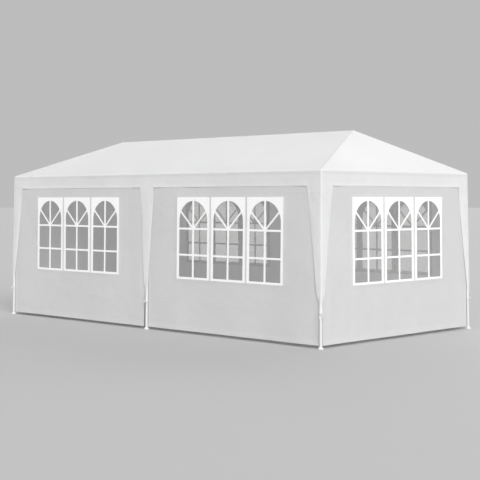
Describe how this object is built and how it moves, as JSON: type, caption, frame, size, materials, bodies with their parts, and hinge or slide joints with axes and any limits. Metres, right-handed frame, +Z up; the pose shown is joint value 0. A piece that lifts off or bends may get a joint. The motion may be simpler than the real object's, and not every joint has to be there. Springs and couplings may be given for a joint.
{
  "type": "marquee tent",
  "caption": "Rectangular garden marquee: a tube frame with splayed legs, hipped fabric roof, valance with leg flaps, and side walls with arched clear windows.",
  "frame": {"origin": "on the ground under the middle of the tent", "axes": "+X along the ridge towards the end wall with windows, -Y out of the front long side, +Z up"},
  "size_m": [6.1044, 3.1044, 2.5997],
  "materials": {
    "cover_cloth": "white woven polyethylene sheet, satin",
    "wall_cloth": "white woven polyethylene sheet, satin",
    "window_film": "clear soft film, glossy",
    "coated_tube": "white powder coat",
    "coated_connector": "white powder coat"
  },
  "bodies": {
    "root": {"leg_front_left": "coated_tube", "leg_front_middle": "coated_tube", "leg_front_right": "coated_tube", "leg_back_left": "coated_tube", "leg_back_middle": "coated_tube", "leg_back_right": "coated_tube", "eave_tube_front_left": "coated_tube", "eave_tube_front_right": "coated_tube", "eave_tube_back_left": "coated_tube", "eave_tube_back_right": "coated_tube", "eave_tube_left": "coated_tube", "eave_tube_right": "coated_tube", "hip_rafter_front_left": "coated_tube", "hip_rafter_front_right": "coated_tube", "hip_rafter_back_left": "coated_tube", "hip_rafter_back_right": "coated_tube", "rafter_front": "coated_tube", "rafter_back": "coated_tube", "ridge_tube_left": "coated_tube", "ridge_tube_right": "coated_tube", "corner_connector_front_left": "coated_connector", "corner_connector_front_right": "coated_connector", "corner_connector_back_left": "coated_connector", "corner_connector_back_right": "coated_connector", "eave_connector_front_middle": "coated_connector", "eave_connector_back_middle": "coated_connector", "connector_ridge_left": "coated_connector", "connector_ridge_middle": "coated_connector", "connector_ridge_right": "coated_connector", "roof_panel_front": "cover_cloth", "roof_panel_back": "cover_cloth", "roof_panel_left": "cover_cloth", "roof_panel_right": "cover_cloth", "valance_front": "cover_cloth", "valance_back": "cover_cloth", "valance_left": "cover_cloth", "valance_right": "cover_cloth", "wall_front_left": "wall_cloth", "wall_front_right": "wall_cloth", "wall_back_left": "wall_cloth", "wall_back_right": "wall_cloth", "wall_right": "wall_cloth", "wall_left": "wall_cloth", "door_flap": "wall_cloth", "window_film_front_left": "window_film", "window_film_front_right": "window_film", "window_film_back_left": "window_film", "window_film_back_right": "window_film", "window_film_right": "window_film"}
  },
  "joints": []
}
